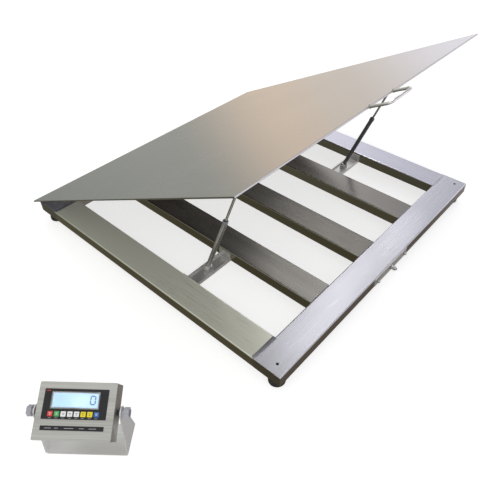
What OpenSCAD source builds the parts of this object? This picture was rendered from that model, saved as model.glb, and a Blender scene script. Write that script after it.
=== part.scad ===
// Lift-deck pallet scale: a low stainless steel platform on four load cells, with a hinged deck
// held open by two gas struts, and a weighing indicator on its own U stand.
// Origin: centre of the platform on the floor. -Y is the free edge of the deck, +Y its hinges.

/* [Deck] */
// Side of the square deck plate
deck_side = 1220; // [1200:5:1240]
// Thickness of the deck plate
deck_t = 5; // [4:0.5:8]
// Angle at which the struts hold the deck open
deck_open = 27.5; // [0:0.5:27.5]

/* [Frame] */
// Outer side of the square frame
frame_side = 1190; // [1180:5:1200]
// Width of every channel and beam
rail_w = 100; // [90:5:110]
// Height of every channel and beam
rail_h = 40; // [38:1:44]
// Gap between the floor and the underside of the frame
ground_gap = 40; // [38:1:42]
// Thickness of the frame's sheet steel
sheet_t = 3; // [2.5:0.5:3]

/* [Feet] */
// Distance of each foot from the side faces of the frame
foot_inset_x = 32; // [30:1:36]
// Distance of each foot from the front and rear faces of the frame
foot_inset_y = 36; // [32:1:40]
// Radius of the rubber pad
pad_r = 26; // [22:1:28]

/* [Struts] */
// Y of the strut's lower pivot
strut_foot_y = -126; // [-130:0.5:-120]
// Height of the strut's lower pivot
strut_foot_z = 60.5; // [60:0.5:62]
// Distance of the upper pivot from the hinge line, along the deck
strut_head_run = 1025; // [1020:1:1035]
// Distance of the upper pivot below the hinge line, square to the deck
strut_head_drop = 13; // [12:0.5:14]
// Length of the cylinder from its pivot to the end of its collar
cylinder_len = 278; // [270:1:279]
// Outer radius of the cylinder
cylinder_r = 8; // [7:0.5:8]

/* [Handle] */
// X of the middle of the handle
handle_x = -24; // [-80:2:80]
// Width of the handle between the centres of its legs
handle_w = 124; // [100:2:160]
// How far the handle stands out from the deck's edge
handle_reach = 66; // [50:1:80]
// Radius of the handle's bar
handle_r = 4.5; // [4:0.5:6]

/* [Access panel] */
// X of the middle of the panel and the outlet gland
panel_x = 0; // [-8:1:8]
// Width of the panel
panel_w = 210; // [200:5:240]
// Distance between its two screws
panel_screw_pitch = 176; // [172:1:180]

/* [Indicator] */
// X of the indicator's stand
indicator_x = -1015; // [-1200:5:-900]
// Y of the indicator's stand
indicator_y = -304; // [-500:1:0]
// How far the indicator is turned about the vertical
indicator_turn = -51; // [-90:1:90]
// How far the head leans back from upright
head_tilt = 64; // [0:1:80]
// Width of the housing
head_w = 188; // [186:1:190]
// Height of the housing
head_h = 134; // [130:1:140]
// Height of the tilt axis above the floor
tilt_z = 140; // [130:1:170]
// Width of the stand over its arms
stand_w = 212; // [211:1:216]

/* [Hidden] */
$fn = 64;

half = frame_side / 2;
frame_top = ground_gap + rail_h;
rail_y = half - rail_w / 2;
beam_pitch = (frame_side - rail_w) / 4;
beam_len = frame_side - 2 * rail_w;
bend_r = 4;
LEFT = -1;
RIGHT = 1;
FRONT = -1;
REAR = 1;

// Feet and load cells
foot_x = half - foot_inset_x;
foot_y = half - foot_inset_y;
access_r = 4;
thread_r = 6;
run_gap = 0.05;
plate_t = 6;
pad_h = 22;
flange_h = 4;
cell_len = 130;
cell_w = 32;
cell_end = 16;
cell_inner = cell_len - cell_end;
cell_bolt_xs = [75, 100];
cell_top = frame_top - sheet_t - plate_t;
cell_bottom = ground_gap;
stud_top = cell_top - 3;
lead_r = 2.5;
lead_z = ground_gap + 20;
lead_bend = 25;
lead_gap = 14;
lead_hole_r = 3.2;

// Junction box behind the access panel
box_w = 150;
box_d = 60;
box_t = 2;
box_z0 = ground_gap + 6;
box_z1 = frame_top - sheet_t - 3;
panel_t = 2;
panel_hole_w = 110;
panel_z0 = ground_gap + 3;
panel_z1 = frame_top - 3;
gland_z = ground_gap + rail_h / 2;
gland_r = 6;
gland_bore_r = 3;
web_y = -half;

// Hinges
hinge_y = half + 9.5;
hinge_z = frame_top - 9;
hinge_xs = [-450, 0, 450];
knuckle_r = 6;
knuckle_len = 30;
knuckle_gap = 0.5;
pin_r = 3;
leaf_t = 2.5;
deck_gap = 0.4;
deck_z = frame_top + deck_gap;
deck_front = -deck_side / 2;

// Struts
strut_x = beam_pitch * 1.5;
gap_w = beam_pitch - rail_w;
pivot_r = 4;
head_y = hinge_y - strut_head_run * cos(deck_open) - strut_head_drop * sin(deck_open);
head_z = hinge_z + strut_head_run * sin(deck_open) - strut_head_drop * cos(deck_open);
strut_len = norm([head_y - strut_foot_y, head_z - strut_foot_z]);
strut_angle = atan2(head_z - strut_foot_z, head_y - strut_foot_y);
bracket_front = -150.5;
bracket_d = 52;
bracket_t = 4;
bracket_z = ground_gap;
lip_h = 11;
rod_r = 4;
collar_len = 12;
eye_half = 6;
release_angle = 28.5;

// Indicator
head_d = 54;
shell_t = 1.5;
shell_depth = 49;
face_y = -head_d / 2;
seam_y = face_y + shell_depth;
stand_t = 3;
stand_d = 84;
arm_top_r = 16;
knob_r = 14;
knob_len = 12;
tilt_r = 4;
panel_cx = -1.5;
overlay_w = 155;
overlay_h = 70;
overlay_z = 15.6;
overlay_t = 1;
window_w = 114;
window_h = 37;
window_x = -2.6;
window_z = 24.4;
key_w = 12.2;
key_h = 11.6;
key_pitch = 15.87;
key_x0 = -58.3;
key_z = -7.2;
key_gap = 0.4;
strip_w = 151;
strip_h = 10.5;
strip_z = -39.1;
gland_x = 52;
indicator_gland_z = -10;
board_y = face_y + 10;

// ---------- helpers ----------

// Sheet bent to an inverted U with rounded bends, standing on y = 0
module channel_profile(w, h, t, r) {
    difference() {
        union() {
            translate([-w / 2, 0]) square([w, h - r]);
            translate([r - w / 2, 0]) square([w - 2 * r, h]);
            for (s = [-1, 1]) translate([s * (w / 2 - r), h - r]) circle(r);
        }
        translate([t - w / 2, -1]) square([w - 2 * t, h - t + 1]);
    }
}

// Length of channel along Y, centred on X and Y, with its open side down at z = 0
module rail(len) {
    rotate([90, 0, 0]) linear_extrude(len, center = true)
        channel_profile(rail_w, rail_h, sheet_t, bend_r);
}

// Square with round corners
module round_rect(w, h, r) {
    square([w - 2 * r, h], center = true);
    square([w, h - 2 * r], center = true);
    for (x = [-1, 1], y = [-1, 1]) translate([x * (w / 2 - r), y * (h / 2 - r)]) circle(r);
}

// Bar along X, centred on the origin
module x_bar(r, len) {
    rotate([0, 90, 0]) cylinder(r = r, h = len, center = true);
}

// Plate in the YZ plane, t thick, from a 2D outline drawn with Y across and Z up
module yz_plate(t) {
    rotate([90, 0, 90]) linear_extrude(t, center = true) children();
}

// Plate in the XZ plane from y = 0 towards +Y, from an outline with X across and Z up
module xz_plate(t) {
    translate([0, t, 0]) rotate([90, 0, 0]) linear_extrude(t) children();
}

module at_corner(side, end) {
    translate([side * foot_x, end * foot_y, 0]) children();
}

// Puts children, drawn closed, at the deck's open angle
module on_deck() {
    translate([0, hinge_y, hinge_z]) rotate([-deck_open, 0, 0]) translate([0, -hinge_y, -hinge_z])
        children();
}

// Strut's own frame: origin at the lower pivot, Z along the strut
module on_strut(side) {
    translate([side * strut_x, strut_foot_y, strut_foot_z]) rotate([strut_angle - 90, 0, 0])
        children();
}

// Indicator's own frame: origin on the floor under the tilt axis, -Y towards its user
module on_stand() {
    translate([indicator_x, indicator_y, 0]) rotate([0, 0, indicator_turn]) children();
}

// Head's own frame: origin on the tilt axis, -Y out of the display
module on_head() {
    on_stand() translate([0, 0, tilt_z]) rotate([-head_tilt, 0, 0]) children();
}

function key_x(i) = key_x0 + (i - 1) * key_pitch;

// ---------- frame ----------

module cross_channel(end) {
    translate([0, end * rail_y, ground_gap]) difference() {
        union() {
            rotate([0, 0, 90]) rail(frame_side);
            for (s = [LEFT, RIGHT])
                translate([s * (half - sheet_t / 2) - sheet_t / 2, sheet_t - rail_w / 2 - 0.5, 0])
                    cube([sheet_t, rail_w - 2 * sheet_t + 1, rail_h - sheet_t + 0.5]);
        }
        for (s = [LEFT, RIGHT]) {
            translate([s * foot_x, end * (foot_y - rail_y), 0]) cylinder(r = access_r, h = rail_h + 1);
            translate([s * beam_pitch, -end * rail_w / 2, lead_z - ground_gap]) rotate([90, 0, 0])
                cylinder(r = 2 * lead_hole_r, h = 4 * sheet_t, center = true);
        }
    }
}

module front_channel() {
    color([0.74, 0.75, 0.80]) difference() {
        cross_channel(FRONT);
        translate([panel_x - panel_hole_w / 2, web_y - 1, box_z0 + 1])
            cube([panel_hole_w, sheet_t + 2, box_z1 - box_z0 - 2]);
        for (s = [-1, 1]) translate([panel_x + s * panel_screw_pitch / 2, web_y, gland_z])
            rotate([90, 0, 0]) cylinder(r = 2.5, h = 4 * sheet_t, center = true);
    }
}

module rear_channel() {
    color([0.55, 0.56, 0.56]) cross_channel(REAR);
}

module beam(step) {
    color([0.50, 0.50, 0.46]) translate([step * beam_pitch, 0, ground_gap]) rail(beam_len);
}

// Load cell lying inwards along +X from the foot, for the left side
module half_cells(end) {
    at_corner(LEFT, end) difference() {
        translate([-cell_end, -cell_w / 2, cell_bottom])
            cube([cell_len, cell_w, cell_top - cell_bottom]);
        cylinder(r = thread_r + run_gap, h = cell_top + 1);
        for (x = cell_bolt_xs) translate([x, 0, 0]) cylinder(r = thread_r, h = cell_top + 1);
        for (s = [-1, 1]) translate([42, s * cell_w / 2, (cell_top + cell_bottom) / 2])
            rotate([90, 0, 0]) cylinder(r = 11, h = 20, center = true);
    }
}

// Draws children for the left side and mirrored for the right
module both_sides() {
    children();
    mirror([1, 0, 0]) children();
}

module load_cells() {
    color([0.62, 0.63, 0.65]) both_sides() for (end = [FRONT, REAR]) half_cells(end);
}

module cell_mount_plates() {
    color([0.45, 0.46, 0.47]) both_sides() for (end = [FRONT, REAR]) at_corner(LEFT, end)
        difference() {
            translate([cell_inner - 52, -cell_w / 2, cell_top]) cube([52, cell_w, plate_t]);
            for (x = cell_bolt_xs) translate([x, 0, cell_top]) cylinder(r = thread_r, h = plate_t);
        }
}

module cell_bolts() {
    color([0.30, 0.31, 0.33]) both_sides() for (end = [FRONT, REAR], x = cell_bolt_xs)
        at_corner(LEFT, end) translate([x, 0, 0]) {
            translate([0, 0, cell_bottom]) cylinder(r = thread_r, h = cell_top - cell_bottom + plate_t);
            translate([0, 0, cell_bottom - 8]) cylinder(r = 10.4, h = 8, $fn = 6);
        }
}

module foot_lock_nuts() {
    color([0.70, 0.70, 0.72]) both_sides() for (end = [FRONT, REAR]) at_corner(LEFT, end)
        difference() {
            translate([0, 0, cell_bottom - 9]) cylinder(r = 11, h = 9, $fn = 6);
            cylinder(r = thread_r + run_gap, h = cell_bottom + 1);
        }
}

// Quarter bend of lead: starts at the origin along +Y and leaves along +X
module lead_elbow() {
    translate([lead_bend, 0, 0]) rotate([0, 0, 90]) rotate_extrude(angle = 90)
        translate([lead_bend, 0]) circle(lead_r);
}

module lead_run(from, to) {
    way = to - from;
    translate(from) rotate([0, 0, atan2(way[1], way[0])]) rotate([0, 90, 0])
        cylinder(r = lead_r, h = norm(way));
}

// Lead of a rear cell: along the rear channel, forward inside a beam, then to the box
module rear_lead() {
    cell_x = cell_inner - foot_x;
    turn_y = foot_y - lead_bend;
    box_lead_y = lead_gap - foot_y;
    lead_run([cell_x, foot_y, lead_z], [-beam_pitch - lead_bend, foot_y, lead_z]);
    translate([-beam_pitch, turn_y, lead_z]) mirror([1, 0, 0]) lead_elbow();
    lead_run([-beam_pitch, turn_y, lead_z], [-beam_pitch, box_lead_y + lead_bend, lead_z]);
    translate([-beam_pitch, box_lead_y + lead_bend, lead_z]) mirror([0, 1, 0]) lead_elbow();
    lead_run([lead_bend - beam_pitch, box_lead_y, lead_z], [-box_w / 2 + 10, box_lead_y, lead_z]);
}

module sensor_leads() {
    color([0.10, 0.10, 0.11]) both_sides() {
        lead_run([cell_inner - foot_x, -foot_y, lead_z], [-box_w / 2 + 10, -foot_y, lead_z]);
        rear_lead();
    }
}

module junction_box() {
    box_y = web_y + sheet_t;
    color([0.66, 0.67, 0.68]) difference() {
        translate([-box_w / 2, box_y, box_z0]) cube([box_w, box_d, box_z1 - box_z0]);
        translate([box_t - box_w / 2, box_y - 1, box_z0 + box_t])
            cube([box_w - 2 * box_t, box_d - box_t + 1, box_z1 - box_z0 - 2 * box_t]);
        for (y = [-foot_y, lead_gap - foot_y]) translate([0, y, lead_z])
            x_bar(lead_hole_r, box_w + 10);
    }
}

module junction_board() {
    color([0.10, 0.36, 0.20]) {
        translate([8 - box_w / 2, web_y + 10, box_z0 + 5]) cube([box_w - 16, box_d - 16, 1.6]);
        for (x = [-1, 1], y = [16, box_d - 12])
            translate([x * (box_w / 2 - 14), web_y + y, box_z0 + box_t]) cylinder(r = 3, h = 3.2);
    }
}

module access_panel() {
    color([0.70, 0.71, 0.73]) translate([panel_x, web_y - panel_t, 0]) difference() {
        translate([0, 0, (panel_z0 + panel_z1) / 2])
            xz_plate(panel_t) round_rect(panel_w, panel_z1 - panel_z0, 2);
        for (s = [-1, 1]) translate([s * panel_screw_pitch / 2, 0, gland_z]) rotate([90, 0, 0])
            cylinder(r = 2.5, h = 3 * panel_t, center = true);
        translate([0, 0, gland_z]) rotate([90, 0, 0]) cylinder(r = gland_r, h = 9, center = true);
    }
}

module panel_screws() {
    color([0.78, 0.78, 0.80]) for (s = [-1, 1])
        translate([panel_x + s * panel_screw_pitch / 2, web_y - panel_t, gland_z]) rotate([90, 0, 0])
            difference() {
                union() {
                    cylinder(r = 5, h = 3);
                    translate([0, 0, -8]) cylinder(r = 2.5, h = 8);
                }
                translate([0, 0, 1.5]) cylinder(r = 1.6, h = 2, $fn = 6);
            }
}

// Cable gland through the panel, with nothing in it
module outlet_gland() {
    color([0.80, 0.80, 0.82]) translate([panel_x, web_y - panel_t, gland_z]) rotate([90, 0, 0])
        difference() {
            union() {
                translate([0, 0, -10]) cylinder(r = gland_r, h = 12);
                translate([0, 0, -6]) cylinder(r = 8.5, h = 4, $fn = 6);
                cylinder(r = 8.5, h = 4, $fn = 6);
                translate([0, 0, 4]) cylinder(r = 6.5, h = 2);
                translate([0, 0, 6]) cylinder(r = 7.8, h = 9, $fn = 6);
                translate([0, 0, 15]) cylinder(r1 = 6.6, r2 = 4.4, h = 5);
            }
            translate([0, 0, -11]) cylinder(r = gland_bore_r, h = 32);
        }
}

// ---------- strut brackets ----------

// Ear with its lower edge at z = base, around a bore at z = axis
module ear_outline(r, rise) {
    circle(r);
    translate([-r, -rise]) square([2 * r, rise]);
}

module strut_bracket(side) {
    translate([side * strut_x, bracket_front, 0]) {
        translate([-gap_w / 2, 0, bracket_z]) cube([gap_w, bracket_d, bracket_t]);
        for (y = [0, bracket_d - bracket_t])
            translate([-gap_w / 2, y, bracket_z]) cube([gap_w, bracket_t, lip_h]);
        for (s = [-1, 1]) {
            translate([s * (gap_w - bracket_t) / 2 - bracket_t / 2, 0, bracket_z])
                cube([bracket_t, bracket_d, rail_h - 6]);
            translate([s * (eye_half + 3.5), strut_foot_y - bracket_front, strut_foot_z])
                difference() {
                    yz_plate(5) ear_outline(10, strut_foot_z - bracket_z - 1);
                    x_bar(pivot_r, 6);
                }
        }
    }
}

module strut_brackets() {
    color([0.62, 0.62, 0.60]) for (side = [LEFT, RIGHT]) strut_bracket(side);
}

module strut_foot_pins() {
    color([0.75, 0.75, 0.77]) for (side = [LEFT, RIGHT])
        translate([side * strut_x, strut_foot_y, strut_foot_z]) {
            x_bar(pivot_r, 2 * eye_half + 12);
            for (s = [-1, 1]) translate([s * (eye_half + 7.25), 0, 0]) x_bar(6, 2.5);
        }
}

// ---------- hinges ----------

module hinge_frame_leaves() {
    leaf_w = 3 * knuckle_len + 2 * knuckle_gap;
    leaf_y = half - hinge_y;
    color([0.58, 0.58, 0.57]) for (x = hinge_xs) translate([x, hinge_y, hinge_z]) difference() {
        union() {
            translate([-leaf_w / 2, leaf_y, -24]) cube([leaf_w, leaf_t, 16]);
            for (s = [-1, 1]) translate([s * (knuckle_len + knuckle_gap), 0, 0]) {
                x_bar(knuckle_r, knuckle_len);
                translate([-knuckle_len / 2, leaf_y, -9]) cube([knuckle_len, leaf_t, 11]);
                translate([-knuckle_len / 2, leaf_y, -knuckle_r]) cube([knuckle_len, -leaf_y, 5]);
            }
        }
        x_bar(pin_r, leaf_w + 2);
    }
}

module hinge_pins() {
    color([0.72, 0.72, 0.74]) for (x = hinge_xs) translate([x, hinge_y, hinge_z]) {
        x_bar(pin_r, 3 * knuckle_len + 5);
        for (s = [-1, 1]) translate([s * (1.5 * knuckle_len + 2.5), 0, 0]) x_bar(4.5, 3);
    }
}

module hinge_deck_leaves() {
    color([0.58, 0.58, 0.57]) on_deck() for (x = hinge_xs) translate([x, hinge_y, hinge_z])
        difference() {
            union() {
                x_bar(knuckle_r, knuckle_len);
                translate([-knuckle_len / 2, -5, 0]) cube([knuckle_len, 10, deck_z - hinge_z]);
            }
            x_bar(pin_r + run_gap, knuckle_len + 2);
        }
}

// ---------- feet ----------

module foot_stud(side, end) {
    color([0.70, 0.70, 0.72]) at_corner(side, end) difference() {
        union() {
            translate([0, 0, pad_h]) cylinder(r = 12, h = flange_h);
            translate([0, 0, pad_h]) cylinder(r = thread_r, h = stud_top - pad_h);
        }
        translate([0, 0, stud_top - 7]) cylinder(r = 3.4, h = 8, $fn = 6);
    }
}

module foot_pad(side, end) {
    color([0.06, 0.06, 0.06]) at_corner(side, end) rotate_extrude()
        polygon([
            [0, 0], [pad_r - 2, 0], [pad_r, 2], [pad_r, 13], [pad_r - 5, pad_h], [0, pad_h]
        ]);
}

// ---------- deck ----------

// Square slab with small chamfers on its edges
module chamfered_plate(side, t, c) {
    module strip() {
        rotate([90, 0, 0]) linear_extrude(side, center = true) polygon([
            [-side / 2 + c, 0], [side / 2 - c, 0], [side / 2, c], [side / 2, t - c],
            [side / 2 - c, t], [c - side / 2, t], [-side / 2, t - c], [-side / 2, c]
        ]);
    }
    intersection() {
        strip();
        rotate([0, 0, 90]) strip();
    }
}

module deck_plate() {
    color([0.62, 0.62, 0.60]) on_deck() translate([0, 0, deck_z])
        chamfered_plate(deck_side, deck_t, 0.8);
}

module lift_handle() {
    bend = 18;
    color([0.80, 0.80, 0.82]) on_deck()
        translate([handle_x, deck_front, deck_z + deck_t / 2]) {
            for (s = [-1, 1]) {
                translate([s * handle_w / 2, 0, 0]) rotate([90, 0, 0])
                    cylinder(r = handle_r, h = handle_reach - handle_r - bend);
                translate([s * (handle_w / 2 - bend), bend + handle_r - handle_reach, 0])
                    rotate([0, 0, s > 0 ? -90 : 180]) rotate_extrude(angle = 90)
                        translate([bend, 0]) circle(handle_r);
            }
            translate([0, handle_r - handle_reach, 0]) x_bar(handle_r, handle_w - 2 * bend);
        }
}

// Ears welded under the deck; a slot lets the strut's pin lie in them
module strut_deck_brackets() {
    ear_t = 4;
    rise = deck_z - hinge_z + strut_head_drop;
    color([0.62, 0.62, 0.60]) on_deck() for (side = [LEFT, RIGHT])
        translate([side * strut_x, hinge_y - strut_head_run, hinge_z - strut_head_drop]) {
            translate([-20, -25, rise - 3]) cube([40, 50, 3]);
            for (s = [-1, 1]) translate([s * (eye_half + 4), 0, 0]) yz_plate(ear_t) difference() {
                rotate(180) ear_outline(11, rise - 1);
                circle(pivot_r + 1);
                rotate(180 + release_angle) translate([0, -pivot_r - 1])
                    square([20, 2 * pivot_r + 2]);
            }
        }
}

// ---------- gas struts ----------

module strut_cylinder(side) {
    tube_end = cylinder_len - collar_len;
    color(side == LEFT ? [0.62, 0.63, 0.64] : [0.16, 0.16, 0.17]) on_strut(side) difference() {
        union() {
            x_bar(cylinder_r, 2 * eye_half);
            translate([-eye_half, -5, 0]) cube([2 * eye_half, 10, 16]);
            translate([0, 0, 14]) cylinder(r = cylinder_r, h = tube_end - 14);
        }
        x_bar(pivot_r + run_gap, 2 * eye_half + 2);
        translate([0, 0, 20]) cylinder(r = cylinder_r - 1.5, h = tube_end);
    }
}

module strut_collar(side) {
    color(side == LEFT ? [0.50, 0.51, 0.52] : [0.16, 0.16, 0.17]) on_strut(side)
        translate([0, 0, cylinder_len - collar_len]) difference() {
            union() {
                cylinder(r = cylinder_r + 1, h = collar_len - 3);
                translate([0, 0, collar_len - 3]) cylinder(r1 = cylinder_r + 1, r2 = 6.5, h = 3);
            }
            translate([0, 0, -1]) cylinder(r = rod_r + run_gap, h = collar_len + 2);
        }
}

// Piston, rod, end eye and its cross pin, turned and pressed together
module strut_rod(side) {
    piston_z = cylinder_len - collar_len - 14;
    color([0.82, 0.82, 0.84]) on_strut(side) {
        translate([0, 0, piston_z]) cylinder(r = cylinder_r - 1.5 - run_gap, h = 10);
        translate([0, 0, piston_z]) cylinder(r = rod_r, h = strut_len - piston_z);
        translate([0, 0, strut_len]) {
            x_bar(cylinder_r, 2 * eye_half);
            x_bar(pivot_r, 2 * eye_half + 14);
            translate([0, 0, -14.5]) cylinder(r = 5.5, h = 12);
        }
    }
}

// ---------- indicator ----------

module arm_outline() {
    circle(arm_top_r);
    polygon([
        [-arm_top_r, 0], [arm_top_r, 0],
        [stand_d / 2, bend_r + stand_t - tilt_z], [-stand_d / 2, bend_r + stand_t - tilt_z]
    ]);
}

// Strip bent to a U: flat base with fixing holes, round bends and two tapering arms
module indicator_stand() {
    outer = bend_r + stand_t;
    color([0.72, 0.72, 0.69]) on_stand() difference() {
        union() {
            translate([outer - stand_w / 2, -stand_d / 2, 0])
                cube([stand_w - 2 * outer, stand_d, stand_t]);
            for (s = [-1, 1]) {
                translate([s * (stand_w - stand_t) / 2, 0, tilt_z]) yz_plate(stand_t) arm_outline();
                translate([s * (stand_w / 2 - outer), 0, outer]) intersection() {
                    rotate([90, 0, 0]) difference() {
                        cylinder(r = outer, h = stand_d, center = true);
                        cylinder(r = bend_r, h = stand_d + 2, center = true);
                    }
                    translate([s * outer / 2, 0, -outer / 2])
                        cube([outer, stand_d + 2, outer], center = true);
                }
            }
        }
        translate([0, 0, tilt_z]) x_bar(tilt_r + 0.3, stand_w + 10);
        for (x = [-57, 0, 57]) translate([x, 0, -1]) cylinder(r = 4.5, h = stand_t + 2);
        for (x = [-78, 34]) translate([x, 22, -1]) cylinder(r = 2.5, h = stand_t + 2);
    }
}

// Lobed knob on a stud that screws into the side of the housing
module tilt_knob(side) {
    grip_x = stand_w / 2 + 6;
    color([0.60, 0.60, 0.64]) on_head() mirror([side == LEFT ? 1 : 0, 0, 0]) rotate([0, 90, 0]) {
        translate([0, 0, head_w / 2 - 5]) cylinder(r = tilt_r, h = grip_x - head_w / 2 + 8);
        translate([0, 0, stand_w / 2 + 0.3]) cylinder(r = 8, h = grip_x - stand_w / 2);
        translate([0, 0, grip_x]) difference() {
            cylinder(r = knob_r, h = knob_len);
            for (i = [0:5]) rotate([0, 0, 60 * i + 30]) translate([knob_r + 3.6, 0, -1])
                cylinder(r = 6, h = knob_len + 2);
        }
    }
}

// Toothed washers that space the housing from the arms of its stand
module tilt_washers() {
    gap = stand_w / 2 - stand_t - head_w / 2;
    disc = 4.5;
    color([0.12, 0.12, 0.13]) on_head() for (side = [0, 1])
        mirror([side, 0, 0]) translate([head_w / 2, 0, 0]) rotate([0, 90, 0]) difference() {
            union() {
                cylinder(r = 6.5, h = gap - disc);
                translate([0, 0, gap - disc - 0.25]) difference() {
                    cylinder(r = 10.5, h = disc);
                    for (i = [0:15]) rotate([0, 0, 22.5 * i]) translate([11.2, 0, 1])
                        cylinder(r = 1.5, h = disc);
                }
            }
            translate([0, 0, -1]) cylinder(r = tilt_r + run_gap, h = gap + 2);
        }
}

// Front shell of the housing: a tray with an inward flange at its back edge
module indicator_housing() {
    in_w = head_w - 2 * shell_t;
    in_h = head_h - 2 * shell_t;
    color([0.74, 0.74, 0.71]) on_head() difference() {
        union() {
            translate([0, face_y, 0]) difference() {
                xz_plate(shell_depth) round_rect(head_w, head_h, 3);
                translate([0, shell_t, 0])
                    xz_plate(shell_depth - 2 * shell_t) round_rect(in_w, in_h, 1.5);
                xz_plate(shell_depth + 1) round_rect(in_w - 18, in_h - 18, 2);
            }
            translate([0, face_y, 0]) difference() {
                xz_plate(shell_t) round_rect(head_w - 6, head_h - 6, 1.5);
                translate([window_x, -1, window_z])
                    xz_plate(shell_t + 2) square([window_w - 4, window_h - 4], center = true);
                for (i = [1:8]) translate([key_x(i), -1, key_z]) xz_plate(shell_t + 2)
                    square([key_w + 2 * key_gap, key_h + 2 * key_gap], center = true);
            }
            for (s = [-1, 1]) translate([s * (head_w / 2 - 4), 0, 0]) x_bar(9, 8);
        }
        for (s = [-1, 1]) translate([s * head_w / 2, 0, 0]) x_bar(tilt_r + run_gap, 30);
        back_screw_places() translate([0, -3, 0]) rotate([-90, 0, 0]) cylinder(r = 2, h = 12);
    }
}

// Six places round the back flange, at the seam
module back_screw_places() {
    for (x = [-1, 0, 1], z = [-1, 1])
        translate([x * (head_w / 2 - 8), seam_y - shell_t, z * (head_h / 2 - 6)]) children();
}

module indicator_gasket() {
    color([0.12, 0.12, 0.12]) on_head() difference() {
        translate([0, seam_y, 0]) xz_plate(1.5) round_rect(head_w - 4, head_h - 4, 3);
        translate([0, seam_y - 1, 0]) xz_plate(4) round_rect(head_w - 20, head_h - 20, 2);
        back_screw_places() rotate([-90, 0, 0]) cylinder(r = 2, h = 12);
    }
}

module indicator_back() {
    flange_y = seam_y + 1.5;
    pan_w = head_w - 24;
    pan_h = head_h - 24;
    pan_d = head_d / 2 - flange_y;
    color([0.66, 0.66, 0.64]) on_head() difference() {
        union() {
            translate([0, flange_y, 0]) xz_plate(shell_t) round_rect(head_w - 2, head_h - 2, 3);
            translate([0, flange_y, 0]) xz_plate(pan_d) round_rect(pan_w, pan_h, 4);
        }
        translate([0, flange_y - 1, 0])
            xz_plate(pan_d - shell_t + 1) round_rect(pan_w - 2 * shell_t, pan_h - 2 * shell_t, 3);
        back_screw_places() rotate([-90, 0, 0]) cylinder(r = 2, h = 12);
        translate([gland_x, 0, indicator_gland_z]) rotate([-90, 0, 0]) cylinder(r = 8, h = head_d);
    }
}

module back_screws() {
    color([0.78, 0.78, 0.80]) on_head() back_screw_places() rotate([-90, 0, 0]) difference() {
        union() {
            cylinder(r = 2, h = 5);
            translate([0, 0, 4.5]) cylinder(r = 3.8, h = 2.4);
        }
        translate([0, 0, 5.6]) cylinder(r = 1.3, h = 2, $fn = 6);
    }
}

// Cable gland in the back, with nothing in it
module indicator_gland() {
    color([0.15, 0.15, 0.16]) on_head() translate([gland_x, head_d / 2, indicator_gland_z])
        rotate([-90, 0, 0]) difference() {
            union() {
                translate([0, 0, -8]) cylinder(r = 8, h = 9);
                translate([0, 0, -6]) cylinder(r = 10.5, h = 4.4, $fn = 6);
                cylinder(r = 10.5, h = 5, $fn = 6);
                translate([0, 0, 5]) cylinder(r = 9, h = 8);
                translate([0, 0, 13]) cylinder(r1 = 8.5, r2 = 6, h = 4);
            }
            translate([0, 0, -9]) cylinder(r = 3, h = 30);
        }
}

// Black faceplate with the display opening and one opening per key, and the strip below
module keypad_panel() {
    color([0.05, 0.05, 0.06]) on_head() translate([0, face_y - overlay_t, 0]) {
        difference() {
            translate([panel_cx, 0, overlay_z])
                xz_plate(overlay_t) round_rect(overlay_w, overlay_h, 1.5);
            translate([window_x, -1, window_z])
                xz_plate(overlay_t + 2) round_rect(window_w, window_h, 1);
            for (i = [1:8]) translate([key_x(i), -1, key_z]) xz_plate(overlay_t + 2)
                round_rect(key_w + 2 * key_gap, key_h + 2 * key_gap, 1.2);
        }
        translate([panel_cx, 0, strip_z]) xz_plate(overlay_t) round_rect(strip_w, strip_h, 1);
    }
}

module display_window() {
    color([0.80, 0.88, 0.95, 0.5]) on_head() translate([window_x, face_y - overlay_t, window_z])
        xz_plate(overlay_t) round_rect(window_w - 0.2, window_h - 0.2, 1);
}

module display_module() {
    color([0.66, 0.80, 0.93]) on_head() translate([window_x, face_y + shell_t + 0.2, window_z])
        xz_plate(7.5) square([window_w + 6, window_h + 6], center = true);
}

module main_board() {
    color([0.10, 0.36, 0.20]) on_head() {
        translate([panel_cx, board_y, 6]) xz_plate(1.6) square([160, 96], center = true);
        translate([46, board_y + 1.6, 10]) xz_plate(9) square([30, 22], center = true);
        translate([-30, board_y + 1.6, 30]) xz_plate(3) square([24, 24], center = true);
    }
}

module battery() {
    color([0.25, 0.26, 0.30]) on_head() translate([-28, board_y + 6, -28])
        xz_plate(28) square([90, 42], center = true);
}

KEY_COLOURS = [
    [0.85, 0.22, 0.20], [0.25, 0.65, 0.32], [0.92, 0.92, 0.92], [0.92, 0.92, 0.92],
    [0.92, 0.92, 0.92], [0.95, 0.88, 0.12], [0.95, 0.88, 0.12], [0.18, 0.36, 0.66]
];

// Cap that stands just proud of the faceplate, with a flange that holds it in behind the wall
module key(i) {
    proud = 0.6;
    flange_y = face_y + shell_t + 0.2;
    color(KEY_COLOURS[i - 1]) on_head() translate([key_x(i), 0, key_z]) {
        translate([0, face_y - overlay_t - proud, 0])
            xz_plate(overlay_t + proud + shell_t + 1) round_rect(key_w, key_h, 1.1);
        translate([0, flange_y, 0]) xz_plate(0.9) square([key_w + 2, key_h + 2], center = true);
        translate([0, flange_y, 0]) xz_plate(board_y - flange_y - 0.9) square(8, center = true);
    }
}

// ---------- assembly ----------

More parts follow.
